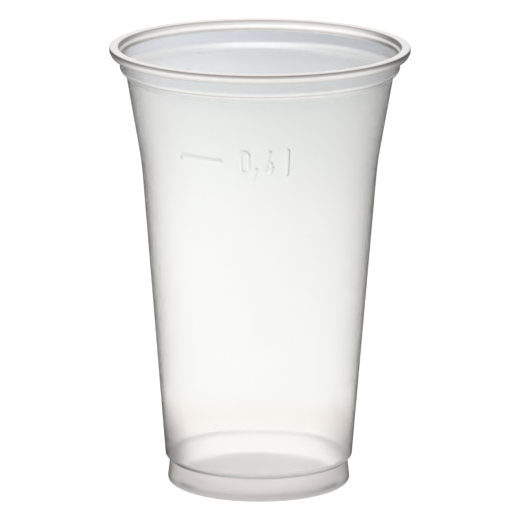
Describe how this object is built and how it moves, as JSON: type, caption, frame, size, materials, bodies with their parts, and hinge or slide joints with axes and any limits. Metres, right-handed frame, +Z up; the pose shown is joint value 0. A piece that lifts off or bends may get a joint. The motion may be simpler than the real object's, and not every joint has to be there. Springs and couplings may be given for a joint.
{
  "type": "plastic disposable cup",
  "caption": "Tall tapered drinking cup of translucent plastic, with a rolled rim, a stepped neck, a raised fill mark and a narrow foot ring.",
  "frame": {"origin": "centre of the foot ring, on the plane that the cup stands on", "axes": "+Z up along the cup's axis to the mouth, -Y towards the fill mark"},
  "size_m": [0.095, 0.095, 0.1412],
  "materials": {
    "milky_plastic": "translucent milky polypropylene, satin"
  },
  "bodies": {
    "root": {"cup": "milky_plastic"}
  },
  "joints": []
}
